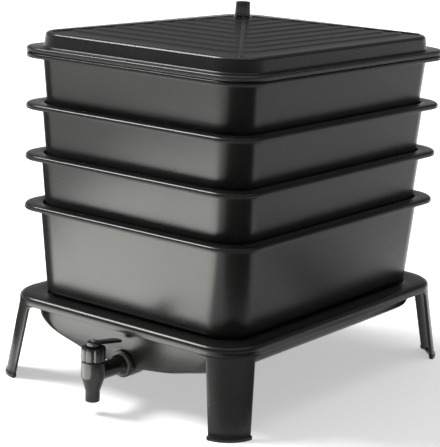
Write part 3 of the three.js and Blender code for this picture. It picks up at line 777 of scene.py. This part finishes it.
def add_ring():
    """The ring as one closed profile: skirt, top, recess, ledge and underside."""
    recess_floor = RING_HEIGHT - RECESS_DEPTH
    ledge = RING_RECESS + LEDGE_WIDTH
    ledge_corner = TRAY_CORNER - LEDGE_WIDTH
    rows = [
        (-RING_OVERHANG, SKIRT_BOTTOM, RING_CORNER, 1.2),
        (-RING_OVERHANG, RING_HEIGHT, RING_CORNER, RING_EDGE),
        (RING_RECESS, RING_HEIGHT, TRAY_CORNER, 1.6),
        (RING_RECESS, recess_floor, TRAY_CORNER, 1.2),
        (ledge, recess_floor, ledge_corner, 1.2),
        (ledge, recess_floor - RING_PLATE, ledge_corner, 1.2),
        (RING_RECESS - RING_WALL, recess_floor - RING_PLATE, TRAY_CORNER + RING_WALL, 1.0),
        (RING_RECESS - RING_WALL, RING_HEIGHT - RING_PLATE, TRAY_CORNER + RING_WALL, 1.0),
        (RING_WALL - RING_OVERHANG, RING_HEIGHT - RING_PLATE, RING_CORNER - RING_WALL, 1.5),
        (RING_WALL - RING_OVERHANG, SKIRT_BOTTOM, RING_CORNER - RING_WALL, 1.2),
    ]
    mesh = smoothed(loft("ring", inset_loops(rows, closed=True), closed=True))
    place("ring_moulding", mesh, stand_plastic, ("base_ring",), "stand")


def arc_angles(half_angle):
    """Even angles over an arc about +X."""
    return [half_angle * (2 * step / ARC_STEPS - 1) for step in range(ARC_STEPS + 1)]


def band_loop(centre, radius, thickness, half_angle, level):
    """The rounded section of a curved band: out along its outer arc and back."""
    corners = []
    for reach, turn in ((radius, 1), (radius - thickness, -1)):
        for step, angle in enumerate(arc_angles(turn * half_angle)):
            edge = LEG_EDGE if step in (0, ARC_STEPS) else 0
            corners.append((centre + reach * math.cos(angle), reach * math.sin(angle), edge))
    return [Vector((p.x, p.y, level)) for p in softened(corners, closed=True)]


def leg_section(level, spread_out=0.0, proud=0.0):
    """The leg's channel at a level, spread out in the fillet at its top or proud at its toe."""
    share = level / LEG_TOP
    radius = FOOT_RADIUS + (RING_CORNER - FOOT_RADIUS) * share
    half_width = FOOT_HALF_WIDTH + (LEG_TOP_HALF_WIDTH - FOOT_HALF_WIDTH) * share
    half_angle = math.asin((half_width + spread_out) / radius) + proud / radius
    thickness = LEG_WALL + LEG_SWELL * spread_out / LEG_FILLET + proud
    return band_loop(LEG_SPLAY * (1 - share), radius + proud, thickness, half_angle, level)


def leg_fillet():
    """The leg's top, which spreads out to the ring's skirt in a quarter round."""
    loops = []
    for step in range(LEG_FILLET_STEPS + 1):
        angle = step / LEG_FILLET_STEPS * math.pi / 2
        level = LEG_TOP - LEG_FILLET * (1 - math.sin(angle))
        loops.append(leg_section(level, LEG_FILLET * (1 - math.cos(angle))))
    return loops


def leg_band(thickness, low):
    """A piece of the tongue inside the ring's skirt, up to the ring's plate."""
    radius = RING_CORNER - RING_WALL - TONGUE_GAP
    half_angle = math.asin(TONGUE_HALF_WIDTH / radius)
    levels = (low, FLANGE_TOP)
    return loft("band", [band_loop(0, radius, thickness, half_angle, z) for z in levels])


def leg_sole():
    """The plate that closes the foot of the channel, out to the chord between its edges."""
    angles = arc_angles(math.asin(FOOT_HALF_WIDTH / FOOT_RADIUS))
    return loft("sole", [
        [Vector((LEG_SPLAY + FOOT_RADIUS * math.cos(a), FOOT_RADIUS * math.sin(a), z)) for a in angles]
        for z in (0, SOLE_THICKNESS)
    ])


def leg_mesh():
    """A splayed channel about the centre of a ring corner, leaning towards +X."""
    loops = [leg_section(level, proud=proud) for level, proud in TOE_ROWS]
    loops += [leg_section(level) for level in LEG_LEVELS]
    loops += leg_fillet()
    tongue = leg_band(TONGUE_THICKNESS, LEG_TOP - TONGUE_BITE)
    pad = leg_band(TONGUE_THICKNESS + PAD_DEPTH, FLANGE_TOP - PAD_THICKNESS)
    return added(loft("leg", loops), [leg_sole(), tongue, pad])


def add_legs():
    mesh = smoothed(leg_mesh())
    centre_x = RIM_WIDTH / 2 + RING_OVERHANG - RING_CORNER
    centre_y = RIM_DEPTH / 2 + RING_OVERHANG - RING_CORNER
    for end, side_y in (("front", -1), ("back", 1)):
        for side, side_x in (("left", -1), ("right", 1)):
            leg = turned(mesh.copy(), math.atan2(side_y, side_x))
            spot = (side_x * centre_x, side_y * centre_y, 0)
            place(f"{end}_{side}_leg", leg, stand_plastic, (f"leg_{end}_{side}",), "stand", spot)


# Sump


def sump_slices():
    """The slices with smooth ones between them."""
    rows = []
    last = len(SUMP_SLICE_SHARES) - 1
    for index in range(last):
        around = (min(max(index + shift, 0), last) for shift in (-1, 0, 1, 2))
        a, b, c, d = (Vector(SUMP_SLICE_SHARES[row]) for row in around)
        for part in range(SUMP_PARTS):
            t = part / SUMP_PARTS
            bend = (b * 2 + (c - a) * t + (a * 2 - b * 5 + c * 4 - d) * t * t
                    + (b * 3 - a - c * 3 + d) * t * t * t) / 2
            rows.append(bend)
    return rows + [Vector(SUMP_SLICE_SHARES[-1])]


def sump_loop(row, inset, rise):
    """A slice of the pan, set against the front wall, which leans in towards the bottom."""
    height, width, depth, radius = row
    lean = SUMP_LEAN * (1 - height)
    front = -SUMP_HALF_DEPTH + lean + inset
    rear = front + 2 * SUMP_HALF_DEPTH * depth - lean - 2 * inset
    level = SUMP_BOTTOM + (SUMP_TOP - SUMP_BOTTOM) * height + rise
    half_width = SUMP_HALF_WIDTH * width - inset
    corner = SUMP_CORNER * radius - inset
    return rounded_loop(half_width, (rear - front) / 2, corner, level, (front + rear) / 2)


def sump_lugs():
    """Square lugs outside the flange: one at the front, one at the back and two a side."""
    offset_x = SUMP_HALF_WIDTH + LUG_OFFSET
    offset_y = SUMP_HALF_DEPTH + LUG_OFFSET
    places = [(0, side * offset_y) for side in (-1, 1)]
    for side in (-1, 1):
        for end in (-1, 1):
            places.append((side * offset_x, end * LUG_SPREAD_SHARE * SUMP_HALF_DEPTH))
    return [plate("lug", LUG_SIZE, SUMP_TOP, FLANGE_TOP, LUG_CORNER, x, y) for x, y in places]


def boss_drum(radius, start, end, start_edge, end_edge):
    """A round block about the tap's line, between two depths behind the face of the boss."""
    rows = [(0, start, 0), (radius, start, start_edge), (radius, end, end_edge), (0, end, 0)]
    return moved(level_lathe("drum", rows), (0, -SUMP_HALF_DEPTH - BOSS_PROUD, TAP_LEVEL))


def sump_mesh():
    """The pan, with a round well in its floor behind the tap's boss."""
    slices = sump_slices()
    top = slices[-1]
    outside = [sump_loop(row, 0, 0) for row in slices]
    outside += [sump_loop(top, inset, rise) for inset, rise in LIP_ROWS]
    inside = [sump_loop(row, WALL, WALL) for row in slices[:-2]]
    inside += [sump_loop(top, WALL, 0), sump_loop(top, WALL, SUMP_FLANGE + OVERRUN)]
    well = boss_drum(BOSS_RADIUS, 0, WELL_DEPTH, BOSS_EDGE, WELL_EDGE)
    shell = cut(added(loft("sump", outside), [well, *sump_lugs()]), [loft("inside", inside)])
    boss = boss_drum(BOSS_RADIUS, 0, BOSS_PLATE, BOSS_EDGE, 0)
    hollow = boss_drum(BOSS_RADIUS - WALL, BOSS_PLATE, WELL_DEPTH - WALL, *HOLLOW_EDGES)
    hole = boss_drum(BOSS_BORE, -OVERRUN, BOSS_PLATE + OVERRUN, 0, 0)
    return cut(added(shell, [boss]), [hollow, hole])


def add_sump():
    place("sump_pan", smoothed(sump_mesh()), stand_plastic, ("sump", "sump_well"), "stand")


# Tap


def tap_body_mesh():
    """The upright body and its level tail, each with its bore."""
    body = added(lathe("tap_body", BODY_ROWS, TAP_SIDES), [level_lathe("tail", TAIL_ROWS)])
    bore = lathe("bore", SPOUT_ROWS, BORE_SIDES)
    return cut(body, [bore, level_lathe("waterway", WATERWAY_ROWS)])


def lever_loop(shrink, level):
    """The paddle's outline: a round hub end, a narrow waist and a round tip."""
    outline = []
    for start, radius, centre_y in LEVER_ENDS:
        for step in range(LEVER_STEPS + 1):
            angle = start + math.pi * step / LEVER_STEPS
            reach = radius - shrink
            outline.append(Vector((reach * math.cos(angle), centre_y + reach * math.sin(angle), level)))
    half_width, centre_y = LEVER_WAIST
    waist = Vector((half_width - shrink, centre_y, level))
    mirrored = Vector((shrink - half_width, centre_y, level))
    return outline[:LEVER_STEPS + 1] + [waist] + outline[LEVER_STEPS + 1:] + [mirrored]


def lever_mesh():
    """A flat paddle on a hub, which widens and falls towards its tip."""
    paddle = loft("lever", [lever_loop(shrink, level) for level, shrink in LEVER_LEVELS])
    turned(paddle, -LEVER_TILT, "X")
    lever = added(paddle, [lathe("hub", HUB_ROWS, TAP_SIDES)])
    return moved(cut(lever, [lathe("spot", SPOT_ROWS, BORE_SIDES)]), (0, 0, LEVER_HEIGHT))


def add_tap():
    low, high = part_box("tap_gland_nut")
    axis_y = (low.y + high.y) / 2
    spot = (0, (axis_y - CENTRE.y) / MM, TAP_LEVEL)
    place("tap_moulding", smoothed(tap_body_mesh()), tap_plastic, ("tap_body",), "stand", spot)
    gland = fluted_loft("gland", GLAND_ROWS, GLAND_FLUTES, GLAND_FLUTE_DEPTH, sharp=6)
    smoothed(gland, GLAND_SMOOTH_ANGLE)
    place("gland_cap", gland, tap_plastic, ("tap_gland_nut",), "stand", spot)
    place("lever_paddle", smoothed(lever_mesh()), tap_plastic, ("tap_lever",), "tap_valve", spot)


def finish_carried_nodes():
    """Gives the CAD nodes that still show the material of their slot."""
    slots = {row["node"]: row["material_slot"] for row in frame["record"]["subparts"]}
    materials = {m["slot"]: m for m in (tap_plastic, screw_steel, washer_rubber)}
    for name, node in frame["nodes"].items():
        if node.hide_render:
            continue
        node.data.materials.clear()
        node.data.materials.append(materials[slots[name]])


# Studio


def add_floor():
    """A pale floor that the camera and reflections see white outside the object's shadow."""
    corners = [Vector((x * FLOOR_HALF, y * FLOOR_HALF, 0)) for x, y in ((-1, -1), (1, -1), (1, 1), (-1, 1))]
    mesh = mesh_from("floor", corners, [(0, 1, 2, 3)])
    floor = bpy.data.objects.new("floor", mesh)
    bpy.context.scene.collection.objects.link(floor)
    material = bpy.data.materials.new("floor")
    nodes, links, shader = node_tree(material)
    shader.inputs["Base Color"].default_value = (FLOOR_TONE, FLOOR_TONE, FLOOR_TONE, 1)
    shader.inputs["Roughness"].default_value = FLOOR_ROUGHNESS
    shader.inputs["Specular IOR Level"].default_value = FLOOR_SPECULAR
    shader.inputs["Emission Color"].default_value = (1, 1, 1, 1)
    path = nodes.new("ShaderNodeLightPath")
    seen = path.outputs["Is Camera Ray"]
    for ray in ("Is Glossy Ray", "Is Transmission Ray"):
        seen = larger(nodes, links, seen, path.outputs[ray])
    links.new(span(nodes, links, seen, 0, FLOOR_GLOW), shader.inputs["Emission Strength"])
    mesh.materials.append(material)


def add_world():
    """A plain sky, white to the camera, and to every ray where it meets the floor."""
    world = bpy.data.worlds.new("studio")
    bpy.context.scene.world = world
    world.use_nodes = True
    nodes, links = world.node_tree.nodes, world.node_tree.links
    background = nodes["Background"]
    background.inputs["Color"].default_value = (1, 1, 1, 1)
    split = nodes.new("ShaderNodeSeparateXYZ")
    links.new(nodes.new("ShaderNodeTexCoord").outputs["Generated"], split.inputs["Vector"])
    haze = span(nodes, links, split.outputs["Z"], 1, SKY_LIGHT, HAZE_LOW, HAZE_TOP)
    seen = nodes.new("ShaderNodeLightPath").outputs["Is Camera Ray"]
    links.new(larger(nodes, links, haze, seen), background.inputs["Strength"])


def add_key():
    """A wide distant lamp from the upper left."""
    light = bpy.data.lights.new("key", "SUN")
    light.energy = KEY_STRENGTH
    light.angle = KEY_ANGLE
    lamp = bpy.data.objects.new("key", light)
    bpy.context.scene.collection.objects.link(lamp)
    lamp.rotation_mode = "QUATERNION"
    lamp.rotation_quaternion = (-Vector(KEY_SOURCE)).to_track_quat("-Z", "Y")


def add_lamp(name, location, target, size, power, tint):
    """A soft oval lamp that faces its target."""
    light = bpy.data.lights.new(name, "AREA")
    light.shape = "ELLIPSE"
    light.size, light.size_y = size
    light.energy = power
    light.color = tint
    lamp = bpy.data.objects.new(name, light)
    bpy.context.scene.collection.objects.link(lamp)
    lamp.location = location
    aim = Vector(target) - Vector(location)
    lamp.rotation_mode = "QUATERNION"
    lamp.rotation_quaternion = aim.to_track_quat("-Z", "Y")
    lamp.visible_camera = False


def add_reflection_shade_card(name, tone, corners):
    """A grey card that lies on the floor and is seen by reflections alone: a painted dark reflection in the
    object's glossy surfaces.
    """
    points = [Vector((x, y, CARD_LEVEL)) for x, y in corners]
    mesh = mesh_from(name, points, [tuple(range(len(corners)))])
    shade_card = bpy.data.objects.new(name, mesh)
    bpy.context.scene.collection.objects.link(shade_card)
    material = bpy.data.materials.new(name)
    shader = node_tree(material)[2]
    shader.inputs["Base Color"].default_value = (tone, tone, tone, 1)
    shader.inputs["Specular IOR Level"].default_value = 0
    mesh.materials.append(material)
    # Hidden from the camera, diffuse light and shadows, so the card only paints darker reflections
    shade_card.visible_camera = False
    shade_card.visible_diffuse = False
    shade_card.visible_shadow = False


def add_camera():
    """The photograph's view: its azimuth, elevation, roll, distance and lens."""
    back = Vector((
        math.sin(AZIMUTH) * math.cos(ELEVATION),
        -math.cos(AZIMUTH) * math.cos(ELEVATION),
        math.sin(ELEVATION),
    ))
    data = bpy.data.cameras.new("camera")
    data.sensor_width = SENSOR
    data.lens = LENS
    data.clip_end = CLIP_END
    camera = bpy.data.objects.new("camera", data)
    bpy.context.scene.collection.objects.link(camera)
    camera.location = Vector(TARGET) + back * DISTANCE
    camera.rotation_mode = "QUATERNION"
    camera.rotation_quaternion = (-back).to_track_quat("-Z", "Y") @ Quaternion((0, 0, 1), ROLL)
    bpy.context.scene.camera = camera


add_trays()
add_lid()
add_ring()
add_legs()
add_sump()
add_tap()
finish_carried_nodes()
add_floor()
add_world()
add_key()
for lamp_row in LAMPS:
    add_lamp(*lamp_row)
# Cards that paint darker reflections, seen by glossy rays alone
for shade_card_row in REFLECTION_SHADE_CARDS:
    add_reflection_shade_card(*shade_card_row)
add_camera()
bpy.context.scene.view_settings.view_transform = "Standard"
